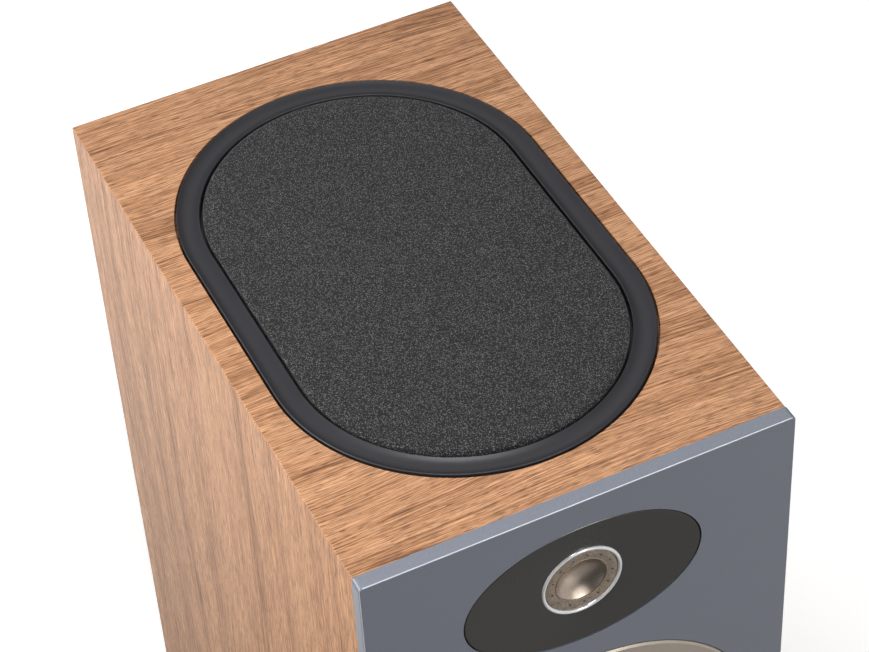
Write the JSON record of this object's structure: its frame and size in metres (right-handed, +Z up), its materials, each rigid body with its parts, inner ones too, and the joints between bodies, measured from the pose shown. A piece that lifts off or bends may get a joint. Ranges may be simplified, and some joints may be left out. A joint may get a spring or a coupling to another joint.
{
  "type": "bookshelf speaker",
  "caption": "Wooden bookshelf loudspeaker with a painted front, dome tweeter on an oval plate, woofer and an upward-firing driver under a cloth grille in its top.",
  "frame": {"origin": "centre of the bounding box's bottom, in the plane of the feet's undersides", "axes": "+Z up along the height, the drivers face -Y, +X across the width to the right of a viewer who faces the front"},
  "size_m": [0.211, 0.367, 0.4392],
  "materials": {
    "veneer": "satin lacquered veneer",
    "raw_board": "raw fibreboard",
    "panel_paint": "satin grey-blue paint on fibreboard",
    "felt": "needled wool felt",
    "foot_rubber": "matt",
    "trim_plastic": "satin moulded",
    "inner_plastic": "matt moulded",
    "grille_knit": "fine acoustic knit",
    "small_magnet": "nickel plated",
    "cast_alloy": "black powder coat on cast alloy",
    "surround_rubber": "matt",
    "cone_paper": "woven cone with a satin coating",
    "cap_metal": "satin anodised",
    "coil_copper": "enamelled winding on a former",
    "spider_cloth": "resin-stiffened cloth",
    "motor_steel": "zinc plated",
    "ferrite": "sintered",
    "ring_taupe": "satin anodised",
    "plate_charcoal": "satin charcoal coat",
    "polished_ring": "polished",
    "dimpled_surround": "soft satin",
    "dome_metal": "satin champagne",
    "terminal_plastic": "semi-gloss moulded",
    "stem_metal": "gold plated",
    "washer_metal": "gold plated",
    "knob_black": "clear-coated moulding",
    "knob_red": "clear-coated moulding",
    "circuit_board": "solder mask",
    "capacitor_sleeve": "film sleeve",
    "lead_sleeve": "insulated lead",
    "screw_steel": "black zinc"
  },
  "bodies": {
    "cabinet": {"side_panel_left": "veneer", "side_panel_right": "veneer", "top_panel": "veneer", "bottom_panel": "veneer", "back_panel": "veneer", "inner_baffle": "raw_board", "front_panel": "panel_paint", "felt_lining": "felt", "rubber_feet": "foot_rubber", "top_trim_ring": "trim_plastic", "height_well": "inner_plastic", "height_chamber": "inner_plastic", "woofer_trim_ring": "ring_taupe", "tweeter_plate": "plate_charcoal", "tweeter_ring": "polished_ring", "tweeter_housing": "inner_plastic", "tweeter_surround": "dimpled_surround", "tweeter_top_plate": "motor_steel", "tweeter_magnet": "ferrite", "tweeter_yoke": "motor_steel", "port_tube": "inner_plastic", "terminal_plate": "terminal_plastic", "post_stems": "stem_metal", "crossover_board": "circuit_board", "crossover_inductors": "coil_copper", "crossover_capacitors": "capacitor_sleeve", "internal_leads": "lead_sleeve", "driver_screws": "screw_steel", "case_screws": "screw_steel", "woofer_basket": "cast_alloy", "woofer_surround": "surround_rubber", "woofer_spider": "spider_cloth", "woofer_top_plate": "motor_steel", "woofer_magnet": "ferrite", "woofer_yoke": "motor_steel", "height_basket": "cast_alloy", "height_surround": "surround_rubber", "height_spider": "spider_cloth", "height_top_plate": "motor_steel", "height_magnet": "ferrite", "height_yoke": "motor_steel"},
    "grille": {"grille_frame": "inner_plastic", "grille_cloth": "grille_knit", "grille_magnets": "small_magnet"},
    "woofer_moving": {"woofer_cone": "cone_paper", "woofer_dust_cap": "cap_metal", "woofer_voice_coil": "coil_copper"},
    "height_moving": {"height_cone": "cone_paper", "height_dust_cap": "cap_metal", "height_voice_coil": "coil_copper"},
    "tweeter_moving": {"tweeter_dome": "dome_metal", "tweeter_voice_coil": "coil_copper"},
    "washer_1": {"post_washer_1": "washer_metal"},
    "knob_1": {"post_knob_1": "knob_black"},
    "washer_2": {"post_washer_2": "washer_metal"},
    "knob_2": {"post_knob_2": "knob_red"},
    "washer_3": {"post_washer_3": "washer_metal"},
    "knob_3": {"post_knob_3": "knob_black"},
    "washer_4": {"post_washer_4": "washer_metal"},
    "knob_4": {"post_knob_4": "knob_red"}
  },
  "joints": [
    {"name": "grille_lift", "type": "slide", "parent": "cabinet", "child": "grille", "axis": [0, 0, 1], "range_m": [0, 0.04]},
    {"name": "woofer_travel", "type": "slide", "parent": "cabinet", "child": "woofer_moving", "axis": [0, -1, 0], "range_m": [-0.005, 0.005], "stiffness_N_per_m": 1100, "deforming": ["woofer_surround", "woofer_spider"]},
    {"name": "height_travel", "type": "slide", "parent": "cabinet", "child": "height_moving", "axis": [0, -0.342, 0.9397], "range_m": [-0.003, 0.003], "stiffness_N_per_m": 1500, "deforming": ["height_surround", "height_spider"]},
    {"name": "tweeter_travel", "type": "slide", "parent": "cabinet", "child": "tweeter_moving", "axis": [0, -1, 0], "range_m": [-0.0003, 0.0003], "stiffness_N_per_m": 400, "deforming": ["tweeter_surround"]},
    {"name": "washer_slide_1", "type": "slide", "parent": "cabinet", "child": "washer_1", "axis": [0, 1, 0], "range_m": [0, 0.0042]},
    {"name": "knob_turn_1", "type": "hinge", "parent": "washer_1", "child": "knob_1", "pos_m": [-0.00953, 0.17, 0.05895], "axis": [0, 1, 0], "range_deg": [0, 1440]},
    {"name": "washer_slide_2", "type": "slide", "parent": "cabinet", "child": "washer_2", "axis": [0, 1, 0], "range_m": [0, 0.0042]},
    {"name": "knob_turn_2", "type": "hinge", "parent": "washer_2", "child": "knob_2", "pos_m": [0.00953, 0.17, 0.05895], "axis": [0, 1, 0], "range_deg": [0, 1440]},
    {"name": "washer_slide_3", "type": "slide", "parent": "cabinet", "child": "washer_3", "axis": [0, 1, 0], "range_m": [0, 0.0042]},
    {"name": "knob_turn_3", "type": "hinge", "parent": "washer_3", "child": "knob_3", "pos_m": [-0.00953, 0.17, 0.09705], "axis": [0, 1, 0], "range_deg": [0, 1440]},
    {"name": "washer_slide_4", "type": "slide", "parent": "cabinet", "child": "washer_4", "axis": [0, 1, 0], "range_m": [0, 0.0042]},
    {"name": "knob_turn_4", "type": "hinge", "parent": "washer_4", "child": "knob_4", "pos_m": [0.00953, 0.17, 0.09705], "axis": [0, 1, 0], "range_deg": [0, 1440]}
  ],
  "couplings": [
    {"joint": "washer_slide_1", "follows": "knob_turn_1", "m_per_rad": 0.00015915},
    {"joint": "washer_slide_2", "follows": "knob_turn_2", "m_per_rad": 0.00015915},
    {"joint": "washer_slide_3", "follows": "knob_turn_3", "m_per_rad": 0.00015915},
    {"joint": "washer_slide_4", "follows": "knob_turn_4", "m_per_rad": 0.00015915}
  ]
}
